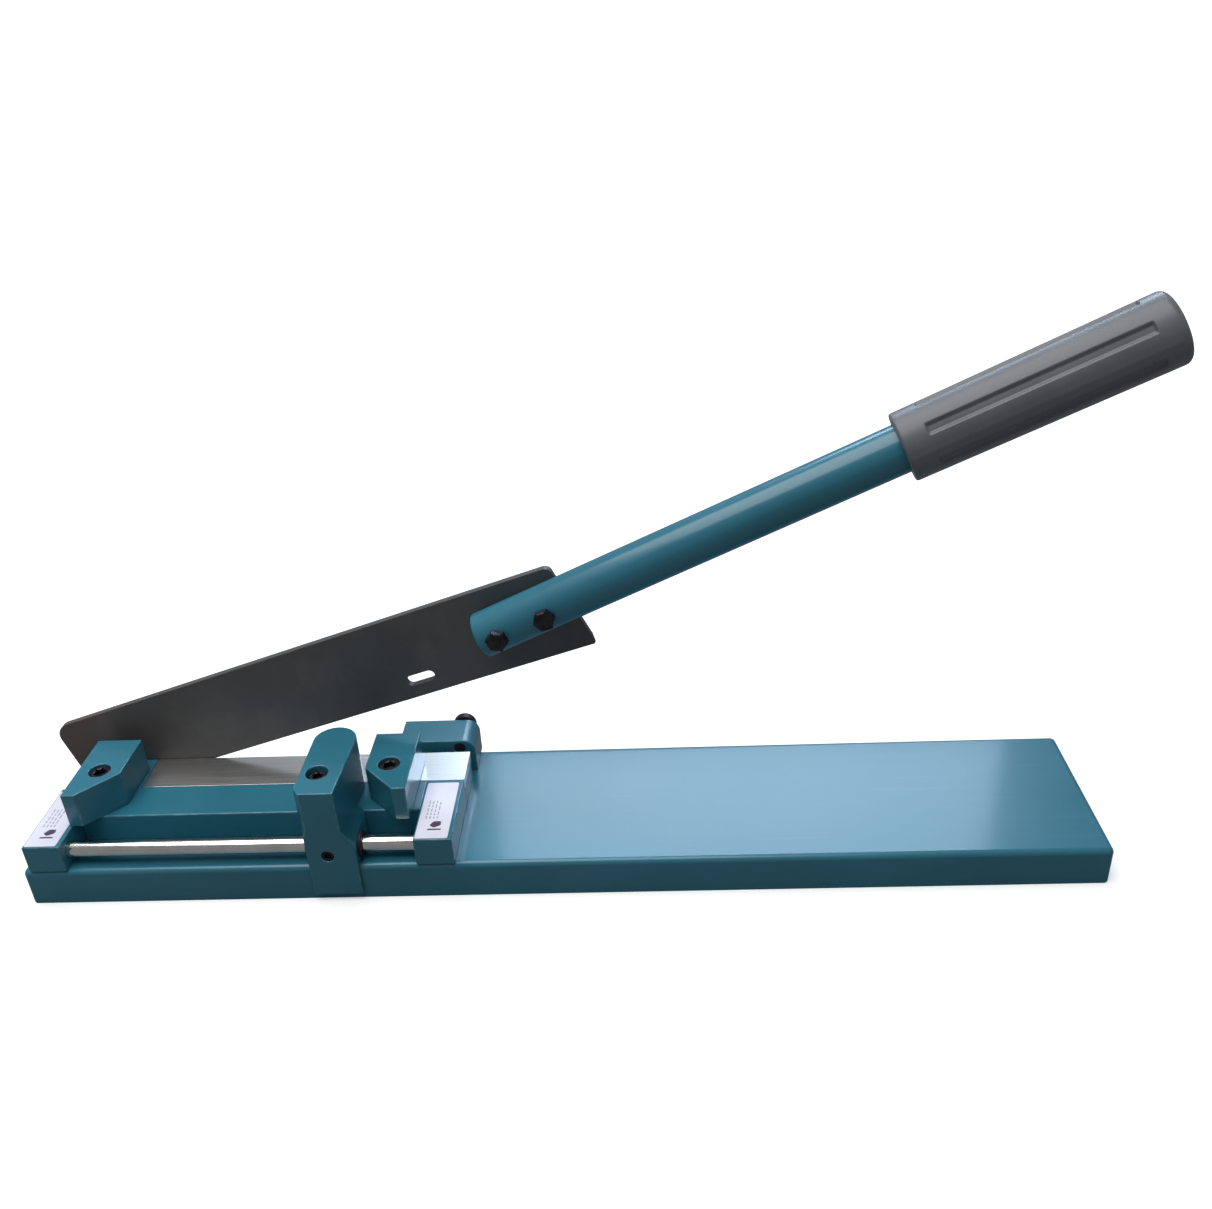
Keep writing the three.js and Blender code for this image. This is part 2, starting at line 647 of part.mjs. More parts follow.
function slotCut() {
  const r = SLOT.width / 2;
  const half = SLOT.length / 2 - r;
  const shape = new THREE.Shape();
  shape.absarc(SLOT.at + half, SLOT.up, r, -Math.PI / 2, Math.PI / 2);
  shape.absarc(SLOT.at - half, SLOT.up, r, Math.PI / 2, 1.5 * Math.PI);
  return carried(shape, bladeFront - 1, bladeBack + 1, 8);
}

function alongTube(distance) {
  const turn = THREE.MathUtils.degToRad(TUBE.angle);
  return [TUBE.at + distance * Math.cos(turn), TUBE.up + distance * Math.sin(turn)];
}

function movingBlade() {
  const { nose, tail, below, land, bevelRise, thickness } = BLADE;
  const wedge = outline([[0, 0], [thickness, 0], [thickness, bevelRise]]);
  const ground = new THREE.ExtrudeGeometry(wedge, { depth: nose + tail + 2, bevelEnabled: false });
  ground.rotateX(Math.PI / 2).rotateZ(Math.PI / 2);
  ground.translate(-tail - 1, bladeFront + land, -below);
  const holes = HANDLE_BOLT_STEPS.map((step) =>
    bar('y', M6.radius + HOLE_PLAY, bladeFront - 1, bladeBack + 1, alongTube(step)));
  const pivotHole = bar('y', PIVOT.radius + RUN, bladeFront - 1, bladeBack + 1, [0, 0], 64);
  const plate = carried(bladeOutline(), bladeFront, bladeBack, 8);
  return drilled(plate.subtract(solid(ground)), [...holes, pivotHole, slotCut()]);
}

function handleTube() {
  const profile = [
    [TUBE.radius - TUBE.wall, 0],
    [TUBE.radius, 0],
    [TUBE.radius, TUBE.length],
    [TUBE.radius - TUBE.wall, TUBE.length],
    [TUBE.radius - TUBE.wall, 0],
  ];
  const holes = HANDLE_BOLT_STEPS.map((step) =>
    bar('y', M6.radius + HOLE_PLAY, -TUBE.radius - 1, TUBE.radius + 1, [step, 0]));
  return drilled(turned('x', profile, 56), holes);
}

// A closed-end rubber grip along X, its mouth at X = 0, with long grooves that stop short.
function handleGrip() {
  const { length, frontRadius, endRadius, endRound, endWall, mouthBreak } = GRIP;
  const bore = TUBE.radius + RUN;
  const profile = [
    [bore, 0],
    [frontRadius - mouthBreak, 0],
    [frontRadius, mouthBreak],
    [endRadius, length - endRound],
  ];
  const steps = 4;
  for (let i = 1; i <= steps; i += 1) {
    const turn = (i * Math.PI) / (2 * steps);
    const [across, forward] = [1 - Math.cos(turn), 1 - Math.sin(turn)];
    profile.push([endRadius - endRound * across, length - endRound * forward]);
  }
  profile.push([0, length], [0, length - endWall], [bore, length - endWall], [bore, 0]);
  return drilled(turned('x', profile, 64), gripGrooves());
}

function gripGrooves() {
  const { length, frontRadius, endRadius, grooves, grooveRadius, grooveMargin } = GRIP;
  const out = (frontRadius + endRadius) / 2 - GRIP.grooveDepth + grooveRadius;
  return Array.from({ length: grooves }, (unused, i) => {
    const groove = bar('x', grooveRadius, grooveMargin, length - grooveMargin, [0, out], 20);
    return groove.rotate([GRIP.firstGroove + (i * 360) / grooves, 0, 0]);
  });
}

function leverParts(parent) {
  place(parent, 'moving_blade', movingBlade(), blackenedSteel);

  const tubeY = bladeFront - TUBE.radius - TUBE.gap;
  const handle = new THREE.Group();
  handle.position.set(TUBE.at, tubeY, TUBE.up);
  handle.rotation.y = -THREE.MathUtils.degToRad(TUBE.angle);
  parent.add(handle);
  place(handle, 'handle_tube', handleTube(), tealPaint);
  place(handle, 'grip', handleGrip(), gripRubber, [GRIP.start, 0, 0]);

  const headFace = tubeY - TUBE.radius - TUBE.gap;
  const nutFace = bladeBack + M6_WASHER.thickness;
  const boltLength = nutFace + M6_NUT.height + M6_HEX.tail - headFace;
  HANDLE_BOLT_STEPS.forEach((step, i) => {
    const [x, z] = alongTube(step);
    const number = i + 1;
    const backwards = [-Math.PI / 2, 0, 0];
    place(parent, `handle_bolt_${number}`, hexBolt(M6_HEX, boltLength), blackOxide,
      [x, headFace, z], [Math.PI / 2, 0, 0]);
    place(parent, `handle_washer_${number}`, washer(M6_WASHER, M6.radius), blackOxide,
      [x, bladeBack, z], backwards);
    place(parent, `handle_nut_${number}`, nut(M6_NUT, M6.radius), blackOxide,
      [x, nutFace, z], backwards);
  });
}

// Assembly -------------------------------------------------------------------------------

function tileCutter() {
  const cutter = new THREE.Group();
  fixedParts(cutter);
  pivotParts(cutter);
  sliderParts(cutter);

  const lever = new THREE.Group();
  lever.position.set(PIVOT.right, 0, pivotHeight);
  lever.rotation.y = -THREE.MathUtils.degToRad(LEVER.restAngle);
  cutter.add(lever);
  leverParts(lever);

  cutter.updateMatrixWorld(true);
  const bounds = new THREE.Box3().setFromObject(cutter, true);
  const middle = bounds.getCenter(new THREE.Vector3());
  cutter.position.set(-middle.x, -middle.y, -bounds.min.z);
  return cutter;
}

const group = tileCutter();

export default group;
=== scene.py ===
"""Hand-lever tile cutter on a folded base: finished pieces, finishes, light and camera.

Sizes of pieces are millimetres, turned to metres by MM where a piece is made, and the lamps
are in metres. Places come from the frame's own boxes and joints. Every finished piece has its
place in its mesh.
"""
import json
import math
import random

import bmesh
import bpy
from mathutils import Matrix, Vector


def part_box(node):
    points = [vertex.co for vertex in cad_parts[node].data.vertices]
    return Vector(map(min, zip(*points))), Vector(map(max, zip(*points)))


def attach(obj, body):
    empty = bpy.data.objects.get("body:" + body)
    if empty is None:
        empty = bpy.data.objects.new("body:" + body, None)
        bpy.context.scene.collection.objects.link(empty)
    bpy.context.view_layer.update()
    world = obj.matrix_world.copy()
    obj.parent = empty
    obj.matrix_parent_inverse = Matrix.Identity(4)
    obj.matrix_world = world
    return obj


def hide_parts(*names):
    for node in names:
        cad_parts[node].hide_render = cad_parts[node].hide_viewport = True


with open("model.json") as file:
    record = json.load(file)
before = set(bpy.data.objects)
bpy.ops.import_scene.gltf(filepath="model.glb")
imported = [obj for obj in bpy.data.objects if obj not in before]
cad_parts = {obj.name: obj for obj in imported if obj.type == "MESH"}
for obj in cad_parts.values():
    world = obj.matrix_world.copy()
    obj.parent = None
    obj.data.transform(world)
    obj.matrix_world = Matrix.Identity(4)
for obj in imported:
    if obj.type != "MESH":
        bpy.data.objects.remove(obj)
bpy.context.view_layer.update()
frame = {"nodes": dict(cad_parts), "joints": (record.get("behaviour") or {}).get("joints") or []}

MM = 0.001
EDGE_LAYER = "worn_and_highlit_edge"

# ---------------------------------------------------------------------------- places

base_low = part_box("base_tray")[0]
joint_at = {j["name"]: Vector(j["pos_m"]) for j in frame["joints"] if "pos_m" in j}

REST_ANGLE = math.radians(17.3)  # the blade's rise at rest
TUBE_ANGLE = math.radians(7.2)  # the tube's further rise from the blade
TUBE_AT = (221.3, 21.4)  # lower end of the tube, along and across the blade
TUBE_RADIUS, TUBE_BORE, TUBE_LENGTH = 11.8, 9.8, 341.0
HANDLE_BOLTS = (10.6, 37.3)  # along the tube from its lower end

GRIP_START, GRIP_LENGTH = 224.7, 126.0
GRIP_MOUTH, GRIP_END = 16.8, 17.3  # outer radius at either end
GROOVES, GROOVE_TURN = 6, math.radians(55)
GROOVE_WIDTH, GROOVE_DEPTH, GROOVE_MARGIN = 5.6, 1.4, 12.5
MOULD_LINE = 0.12  # how far the two mould lines stand up

CAMERA_AT = (329.694, -438.156, 409.200)
CAMERA_YAW, CAMERA_PITCH, CAMERA_ROLL = 0.052216, -0.503886, 0.055678
LENS, SENSOR_WIDTH = 34.0, 36.0


def bench(x, y, z):
    """A place given in millimetres from the base's lower left front corner."""
    return base_low + Vector((x, y, z)) * MM


def mid(node):
    low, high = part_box(node)
    return (low + high) / 2


def lever_frame():
    pivot = joint_at["blade_lever"].copy()
    pivot.y = 0.0
    return Matrix.Translation(pivot) @ Matrix.Rotation(-REST_ANGLE, 4, "Y")


def tube_frame():
    """Lower end of the tube at the origin, the tube running along +Z."""
    lower_end = Vector((TUBE_AT[0] * MM, mid("handle_tube").y, TUBE_AT[1] * MM))
    lean = Matrix.Rotation(-TUBE_ANGLE, 4, "Y")
    upright_to_long = Matrix.Rotation(math.pi / 2, 4, "Y")
    return lever_frame() @ Matrix.Translation(lower_end) @ lean @ upright_to_long


def facing(direction, place):
    """A frame at a place whose +Z looks along a direction."""
    turn = Vector(direction).to_track_quat("Z", "Y").to_matrix().to_4x4()
    return Matrix.Translation(place) @ turn


# ---------------------------------------------------------------------------- modelling


def set_down(bm, name, body, material, replaces=(), sharp=38):
    """Turns a bmesh into a finished piece that rides on a body."""
    for face in bm.faces:
        face.smooth = True
    limit = math.radians(sharp)
    for edge in bm.edges:
        if len(edge.link_faces) == 2 and edge.calc_face_angle(0.0) > limit:
            edge.smooth = False
    mesh = bpy.data.meshes.new(name)
    bm.to_mesh(mesh)
    bm.free()
    piece = bpy.data.objects.new(name, mesh)
    bpy.context.scene.collection.objects.link(piece)
    mesh.materials.append(material)
    level = piece.modifiers.new("even_faces", "WEIGHTED_NORMAL")
    level.weight = 100
    level.keep_sharp = True
    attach(piece, body)
    if replaces:
        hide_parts(*replaces)
    return piece


def merged_copy(node):
    """The node's surface as one joined skin with its flat faces whole."""
    bm = bmesh.new()
    bm.from_mesh(frame["nodes"][node].data)
    bmesh.ops.remove_doubles(bm, verts=bm.verts, dist=1e-6)
    bmesh.ops.dissolve_limit(bm, angle_limit=math.radians(0.6), verts=bm.verts, edges=bm.edges,
                             use_dissolve_boundaries=False, delimit=set())
    bm.normal_update()
    return bm


def eased(bm, width, segments=3, angle=40, keep=lambda edge: True):
    """Rounds every edge sharper than an angle, and marks the rounded strips for wear and a painted
    highlight.
    """
    limit = math.radians(angle)
    layer = bm.faces.layers.float.new(EDGE_LAYER)
    edges = [e for e in bm.edges
             if len(e.link_faces) == 2 and e.calc_face_angle(0.0) > limit and keep(e)]
    made = bmesh.ops.bevel(bm, geom=edges, offset=width * MM, offset_type="OFFSET", segments=segments,
                           profile=0.5, affect="EDGES", clamp_overlap=False, material=-1)
    for face in made["faces"]:
        face[layer] = 1.0
    bm.normal_update()
    return bm


def shaped(verts, shape, height):
    """Puts a loop of points at a height, each at its shape's radius for its angle."""
    for vert in verts:
        angle = math.atan2(vert.co.y, vert.co.x)
        reach = shape(angle) * MM
        vert.co = Vector((math.cos(angle) * reach, math.sin(angle) * reach, height * MM))


def round_of(radius):
    return lambda angle: radius


def hexagon_of(across):
    """Six flats this far across."""
    flat = across / 2

    def radius(angle):
        turn = (angle + math.pi / 6) % (math.pi / 3) - math.pi / 6
        return flat / math.cos(turn)

    return radius


def knurled_of(radius, depth=0.14):
    return lambda angle: radius - depth * (0.5 + 0.5 * math.cos(angle * 24))


def stacked(rings, sides=48, closed=False):
    """Draws a loop on from ring to ring; the ends are capped, or welded to each other."""
    rings = [(shape if callable(shape) else round_of(shape), height) for shape, height in rings]
    if closed:
        rings.append(rings[0])
    bm = bmesh.new()
    first = bmesh.ops.create_circle(bm, cap_ends=False, radius=1.0, segments=sides)["verts"]
    shaped(first, *rings[0])
    first_loop = loop = bm.edges[:]
    for shape, height in rings[1:]:
        grown = bmesh.ops.extrude_edge_only(bm, edges=loop)["geom"]
        verts = [g for g in grown if isinstance(g, bmesh.types.BMVert)]
        loop = [g for g in grown if isinstance(g, bmesh.types.BMEdge) and g.is_boundary]
        shaped(verts, shape, height)
    if closed:
        bmesh.ops.remove_doubles(bm, verts=first + verts, dist=1e-8)
    else:
        for end in (first_loop, loop):
            bmesh.ops.edgeloop_fill(bm, edges=end)
    bmesh.ops.recalc_face_normals(bm, faces=bm.faces)
    if bm.calc_volume(signed=True) < 0:
        bmesh.ops.reverse_faces(bm, faces=bm.faces[:])
    return bm


def moved(bm, matrix):
    bmesh.ops.transform(bm, matrix=matrix, verts=bm.verts)
    return bm


def joined(first, second):
    """Adds the second bmesh's skin to the first."""
    held = bpy.data.meshes.new("held")
    second.to_mesh(held)
    second.free()
    first.from_mesh(held)
    bpy.data.meshes.remove(held)
    return first


def thread_rings(radius, start, end, pitch=1.0, depth=0.32):
    """Crests and roots of a screw thread between two heights, going down from start."""
    turns = max(1, int(abs(start - end) / pitch))
    step = (end - start) / turns
    rings = []
    for i in range(turns):
        rings += [(radius, start + step * (i + 0.1)), (radius - depth, start + step * (i + 0.6))]
    return rings


# ---------------------------------------------------------------------------- finishes


def new_group(name, inputs, outputs):
    """An empty node group with its sockets: inputs are (name, kind, value)."""
    group = bpy.data.node_groups.new(name, "ShaderNodeTree")
    for label, kind, value in inputs:
        socket = group.interface.new_socket(label, in_out="INPUT", socket_type=kind)
        socket.default_value = value
    for label, kind in outputs:
        group.interface.new_socket(label, in_out="OUTPUT", socket_type=kind)
    return group, group.nodes.new("NodeGroupInput"), group.nodes.new("NodeGroupOutput")


def put(tree, kind, **values):
    """Adds a node; values set its sockets, and a node or socket as a value is wired in."""
    node = tree.nodes.new(kind)
    for key, value in values.items():
        if hasattr(node, key) and key.islower():
            setattr(node, key, value)
            continue
        socket = node.inputs[int(key[1:])] if key[0] == "_" else node.inputs[key.replace("_", " ")]
        if isinstance(value, bpy.types.NodeSocket):
            tree.links.new(value, socket)
        else:
            socket.default_value = value
    return node


def maths(tree, operation, first, second=0.0, third=0.0):
    return put(tree, "ShaderNodeMath", operation=operation, _0=first, _1=second, _2=third).outputs[0]


def blended(tree, factor, first, second):
    node = put(tree, "ShaderNodeMix", data_type="RGBA", _0=factor, _6=first, _7=second)
    return node.outputs[2]


def ranged(tree, value, low, high, to_low=0.0, to_high=1.0):
    node = put(tree, "ShaderNodeMapRange", _0=value, _1=low, _2=high, _3=to_low, _4=to_high)
    return node.outputs[0]


COLOUR, VALUE, NORMAL = "NodeSocketColor", "NodeSocketFloat", "NodeSocketVector"


def make_mottle_group():
    """Two colours that drift into each other over the surface."""
    group, given, out = new_group("mottle", [
        ("Dark", COLOUR, (0, 0, 0, 1)), ("Light", COLOUR, (1, 1, 1, 1)),
        ("Scale", VALUE, 20.0), ("Low", VALUE, 0.4), ("High", VALUE, 0.6)],
        [("Colour", COLOUR), ("Mask", VALUE)])
    place = put(group, "ShaderNodeTexCoord").outputs["Object"]
    noise = put(group, "ShaderNodeTexNoise", Vector=place, Scale=given.outputs["Scale"], Detail=4.0,
                Roughness=0.6)
    mask = ranged(group, noise.outputs["Fac"], given.outputs["Low"], given.outputs["High"])
    colour = blended(group, mask, given.outputs["Dark"], given.outputs["Light"])
    group.links.new(colour, out.inputs["Colour"])
    group.links.new(mask, out.inputs["Mask"])
    return group


def make_relief_group():
    """A fine unevenness of the skin."""
    group, given, out = new_group("fine_relief", [
        ("Scale", VALUE, 800.0), ("Height", VALUE, 0.02), ("Strength", VALUE, 0.3)],
        [("Normal", NORMAL)])
    place = put(group, "ShaderNodeTexCoord").outputs["Object"]
    noise = put(group, "ShaderNodeTexNoise", Vector=place, Scale=given.outputs["Scale"], Detail=2.0)
    depth = maths(group, "MULTIPLY", given.outputs["Height"], MM)
    bump = put(group, "ShaderNodeBump", Height=noise.outputs["Fac"], Distance=depth,
               Strength=given.outputs["Strength"])
    group.links.new(bump.outputs["Normal"], out.inputs["Normal"])
    return group


def make_wear_and_highlight_group():
    """Rubbed edges with a painted highlight: the rounded strips, broken up by a noise."""
    group, given, out = new_group("rubbed_and_highlit_edges", [("Amount", VALUE, 0.5), ("Scale", VALUE, 160.0)],
                                  [("Mask", VALUE)])
    edge = put(group, "ShaderNodeAttribute", attribute_name=EDGE_LAYER).outputs["Fac"]
    place = put(group, "ShaderNodeTexCoord").outputs["Object"]
    noise = put(group, "ShaderNodeTexNoise", Vector=place, Scale=given.outputs["Scale"], Detail=5.0)
    broken = ranged(group, noise.outputs["Fac"], 0.42, 0.68)
    rubbed_and_highlit = maths(group, "MULTIPLY", edge, broken)
    group.links.new(maths(group, "MULTIPLY", rubbed_and_highlit, given.outputs["Amount"]), out.inputs["Mask"])
    return group


def make_specks_group():
    """Sparse small spots."""
    group, given, out = new_group("specks", [("Scale", VALUE, 90.0), ("Size", VALUE, 0.08)],
                                  [("Mask", VALUE)])
    place = put(group, "ShaderNodeTexCoord").outputs["Object"]
    cells = put(group, "ShaderNodeTexVoronoi", Vector=place, Scale=given.outputs["Scale"])
    chosen = maths(group, "GREATER_THAN", put(group, "ShaderNodeSeparateColor",
                   _0=cells.outputs["Color"]).outputs[0], 0.86)
    inside = maths(group, "LESS_THAN", cells.outputs["Distance"], given.outputs["Size"])
    group.links.new(maths(group, "MULTIPLY", chosen, inside), out.inputs["Mask"])
    return group


def make_scratches_group():
    """Long thin lines along X: scratches where they lie apart, grinding marks where close."""
    group, given, out = new_group("drawn_lines", [
        ("Along", VALUE, 6.0), ("Across", VALUE, 900.0), ("Low", VALUE, 0.4), ("High", VALUE, 0.7)],
        [("Mask", VALUE)])
    place = put(group, "ShaderNodeTexCoord").outputs["Object"]
    size = put(group, "ShaderNodeCombineXYZ", X=given.outputs["Along"], Y=given.outputs["Across"],
               Z=given.outputs["Across"]).outputs[0]
    stretched = put(group, "ShaderNodeVectorMath", operation="MULTIPLY", _0=place, _1=size).outputs[0]
    noise = put(group, "ShaderNodeTexNoise", Vector=stretched, Scale=1.0, Detail=3.0)
    mask = ranged(group, noise.outputs["Fac"], given.outputs["Low"], given.outputs["High"])
    group.links.new(mask, out.inputs["Mask"])
    return group


MOTTLE = make_mottle_group()
RELIEF = make_relief_group()
WEAR_AND_HIGHLIGHT = make_wear_and_highlight_group()
SPECKS = make_specks_group()
LINES = make_scratches_group()


def use(tree, group, **values):
    node = tree.nodes.new("ShaderNodeGroup")
    node.node_tree = group
    for key, value in values.items():
        socket = node.inputs[key]
        if isinstance(value, bpy.types.NodeSocket):
            tree.links.new(value, socket)
        else:
            socket.default_value = value
    return node


def new_finish(name, **constants):
    """A material with its Principled shader; constants are set on the shader's own sockets."""
    material = bpy.data.materials.new(name)
    material.use_nodes = True
    shader = material.node_tree.nodes["Principled BSDF"]
    for key, value in constants.items():
        shader.inputs[key.replace("_", " ")].default_value = value
    return material, material.node_tree, shader


def feed(tree, shader, **sockets):
    for key, socket in sockets.items():
        tree.links.new(socket, shader.inputs[key.replace("_", " ")])


def teal_enamel():
    material, tree, shader = new_finish("teal_enamel", Coat_Weight=0.28, Coat_Roughness=0.10,
                                        Coat_IOR=1.5, Specular_IOR_Level=0.42)
    drift = use(tree, MOTTLE, Dark=(0.022, 0.152, 0.222, 1), Light=(0.031, 0.190, 0.274, 1),
                Scale=9.0, Low=0.3, High=0.7)
    # The rounded edges are painted lighter: partly rubbed paint, partly a painted highlight.
    worn_and_highlit = use(tree, WEAR_AND_HIGHLIGHT, Amount=0.45, Scale=170.0)
    colour = blended(tree, worn_and_highlit.outputs["Mask"], drift.outputs["Colour"], (0.20, 0.36, 0.42, 1))
    scuffs = use(tree, LINES, Along=14.0, Across=420.0, Low=0.60, High=0.74)
    colour = blended(tree, maths(tree, "MULTIPLY", scuffs.outputs["Mask"], 0.04), colour,
                     (0.25, 0.42, 0.48, 1))
    skin = use(tree, RELIEF, Scale=420.0, Height=0.035, Strength=0.25)
    rough = ranged(tree, drift.outputs["Mask"], 0.0, 1.0, 0.27, 0.34)
    feed(tree, shader, Base_Color=colour, Roughness=rough, Normal=skin.outputs["Normal"])
    return material


def blackened_steel():
    material, tree, shader = new_finish("blackened_blade", Metallic=0.35, Specular_IOR_Level=0.4)
    broad = use(tree, MOTTLE, Dark=(0.088, 0.091, 0.092, 1), Light=(0.128, 0.130, 0.130, 1),
                Scale=14.0, Low=0.25, High=0.75)
    place = put(tree, "ShaderNodeTexCoord").outputs["Object"]
    along = put(tree, "ShaderNodeSeparateXYZ", _0=place).outputs[0]
    tail = ranged(tree, along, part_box("moving_blade")[0].x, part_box("moving_blade")[0].x + 0.11, 1.0, 0.0)
    colour = blended(tree, maths(tree, "MULTIPLY", tail, 0.8), broad.outputs["Colour"],
                     (0.150, 0.116, 0.102, 1))
    blotch = use(tree, MOTTLE, Dark=(0, 0, 0, 1), Light=(1, 1, 1, 1), Scale=38.0, Low=0.50, High=0.85)
    colour = blended(tree, maths(tree, "MULTIPLY", blotch.outputs["Mask"], 0.40), colour,
                     (0.20, 0.185, 0.175, 1))
    spots = use(tree, SPECKS, Scale=70.0, Size=0.10)
    colour = blended(tree, maths(tree, "MULTIPLY", spots.outputs["Mask"], 0.5), colour,
                     (0.30, 0.29, 0.28, 1))
    # The rounded edges are painted lighter: partly rubbed steel, partly a painted highlight.
    worn_and_highlit = use(tree, WEAR_AND_HIGHLIGHT, Amount=0.6, Scale=120.0)
    colour = blended(tree, worn_and_highlit.outputs["Mask"], colour, (0.22, 0.21, 0.20, 1))
    rough = ranged(tree, blotch.outputs["Mask"], 0.0, 1.0, 0.50, 0.36)
    skin = use(tree, RELIEF, Scale=700.0, Height=0.03, Strength=0.3)
    feed(tree, shader, Base_Color=colour, Roughness=rough, Normal=skin.outputs["Normal"])
    return material


def ground_steel():
    material, tree, shader = new_finish("ground_steel", Metallic=1.0)
    lines = use(tree, LINES, Along=30.0, Across=2600.0, Low=0.3, High=0.7)
    colour = blended(tree, lines.outputs["Mask"], (0.70, 0.69, 0.68, 1), (0.86, 0.85, 0.85, 1))
    stain = use(tree, MOTTLE, Dark=(0, 0, 0, 1), Light=(1, 1, 1, 1), Scale=45.0, Low=0.60, High=0.75)
    colour = blended(tree, maths(tree, "MULTIPLY", stain.outputs["Mask"], 0.25), colour,
                     (0.34, 0.31, 0.29, 1))
    rough = ranged(tree, lines.outputs["Mask"], 0.0, 1.0, 0.28, 0.36)
    feed(tree, shader, Base_Color=colour, Roughness=rough)
    return material


def rod_chrome():
    material, tree, shader = new_finish("rod_chrome", Metallic=1.0)
    film = use(tree, MOTTLE, Dark=(0.78, 0.78, 0.77, 1), Light=(0.93, 0.93, 0.92, 1), Scale=90.0,
               Low=0.3, High=0.7)
    rough = ranged(tree, film.outputs["Mask"], 0.0, 1.0, 0.09, 0.14)
    feed(tree, shader, Base_Color=film.outputs["Colour"], Roughness=rough)
    return material


def black_oxide():
    material, tree, shader = new_finish("black_oxide", Metallic=0.8)
    bloom = use(tree, MOTTLE, Dark=(0.022, 0.020, 0.025, 1), Light=(0.050, 0.045, 0.052, 1), Scale=240.0,
                Low=0.35, High=0.65)
    # The rounded edges are painted lighter: partly rubbed oxide, partly a painted highlight.
    worn_and_highlit = use(tree, WEAR_AND_HIGHLIGHT, Amount=0.5, Scale=400.0)
    colour = blended(tree, worn_and_highlit.outputs["Mask"], bloom.outputs["Colour"], (0.24, 0.23, 0.23, 1))
    rough = ranged(tree, bloom.outputs["Mask"], 0.0, 1.0, 0.34, 0.48)
    feed(tree, shader, Base_Color=colour, Roughness=rough)
    return material


def sintered_bronze():
    material, tree, shader = new_finish("sintered_bronze", Metallic=1.0)
    grain = use(tree, MOTTLE, Dark=(0.20, 0.11, 0.04, 1), Light=(0.36, 0.22, 0.09, 1), Scale=900.0,
                Low=0.3, High=0.7)
    rough = ranged(tree, grain.outputs["Mask"], 0.0, 1.0, 0.5, 0.35)
    feed(tree, shader, Base_Color=grain.outputs["Colour"], Roughness=rough)
    return material


def moulded_nylon():
    material, tree, shader = new_finish("moulded_nylon", Specular_IOR_Level=0.4)
    tint = use(tree, MOTTLE, Dark=(0.011, 0.010, 0.013, 1), Light=(0.022, 0.020, 0.025, 1), Scale=200.0,
               Low=0.3, High=0.7)
    rough = ranged(tree, tint.outputs["Mask"], 0.0, 1.0, 0.45, 0.6)
    feed(tree, shader, Base_Color=tint.outputs["Colour"], Roughness=rough)
    return material


def grip_rubber():
    material, tree, shader = new_finish("grip_rubber", Specular_IOR_Level=0.45, Sheen_Weight=0.12,
                                        Sheen_Roughness=0.5)
    tint = use(tree, MOTTLE, Dark=(0.115, 0.122, 0.136, 1), Light=(0.145, 0.152, 0.168, 1), Scale=30.0,
               Low=0.3, High=0.7)
    dust = use(tree, SPECKS, Scale=260.0, Size=0.12)
    colour = blended(tree, maths(tree, "MULTIPLY", dust.outputs["Mask"], 0.25), tint.outputs["Colour"],
                     (0.20, 0.20, 0.22, 1))
    skin = use(tree, RELIEF, Scale=1500.0, Height=0.05, Strength=0.5)
    rough = ranged(tree, tint.outputs["Mask"], 0.0, 1.0, 0.34, 0.42)
    feed(tree, shader, Base_Color=colour, Roughness=rough, Normal=skin.outputs["Normal"])
    return material


def label_film():
    material, tree, shader = new_finish("label_film", Coat_Weight=0.3, Coat_Roughness=0.15)
    tint = use(tree, MOTTLE, Dark=(0.76, 0.76, 0.90, 1), Light=(0.84, 0.84, 0.96, 1), Scale=60.0,
               Low=0.3, High=0.7)
    rough = ranged(tree, tint.outputs["Mask"], 0.0, 1.0, 0.35, 0.45)
    feed(tree, shader, Base_Color=tint.outputs["Colour"], Roughness=rough)
    return material


def label_ink(name, dark, light):
    material, tree, shader = new_finish(name, Coat_Weight=0.3, Coat_Roughness=0.15)
    tint = use(tree, MOTTLE, Dark=dark, Light=light, Scale=500.0, Low=0.35, High=0.65)
    rough = ranged(tree, tint.outputs["Mask"], 0.0, 1.0, 0.4, 0.5)
    feed(tree, shader, Base_Color=tint.outputs["Colour"], Roughness=rough)
    return material


TEAL = teal_enamel()
BLADE_BLACK = blackened_steel()
GROUND = ground_steel()
CHROME = rod_chrome()
OXIDE = black_oxide()
BRONZE = sintered_bronze()
NYLON = moulded_nylon()
RUBBER = grip_rubber()
FILM = label_film()
INK_DARK = label_ink("label_ink_dark", (0.050, 0.035, 0.070, 1), (0.10, 0.075, 0.13, 1))
INK_GREY = label_ink("label_ink_grey", (0.40, 0.40, 0.46, 1), (0.52, 0.52, 0.58, 1))

# ---------------------------------------------------------------------------- base and blocks


def painted(node, body, name, width, segments=3):
    bm = eased(merged_copy(node), width, segments)
    return set_down(bm, name, body, TEAL, (node,))


def base_sheet():
    """The folded sheet: its bends are already round, so only the raw lower edges are eased."""
    low = base_low.z + 0.5 * MM

    def at_foot(edge):
        return all(vert.co.z < low for vert in edge.verts)

    bm = eased(merged_copy("base_tray"), 0.3, 2, keep=at_foot)
    set_down(bm, "folded_base", "base", TEAL, ("base_tray",))


def painted_blocks():
    for node, name, width in (
            ("left_end_block", "left_block", 0.55), ("right_end_block", "right_block", 0.55),
            ("guide_bar", "back_bar", 0.7), ("blade_rail", "blade_bed", 0.3),
            ("pivot_block", "pivot_stand", 0.55), ("left_jaw", "left_stop_jaw", 0.6),
            ("right_jaw", "right_stop_jaw", 0.6), ("guide_block", "blade_guide", 0.6)):
        painted(node, "base", name, width)


def lower_blade():
    bm = eased(merged_copy("lower_blade"), 0.22, 2)
    set_down(bm, "fixed_blade", "base", GROUND, ("lower_blade",))


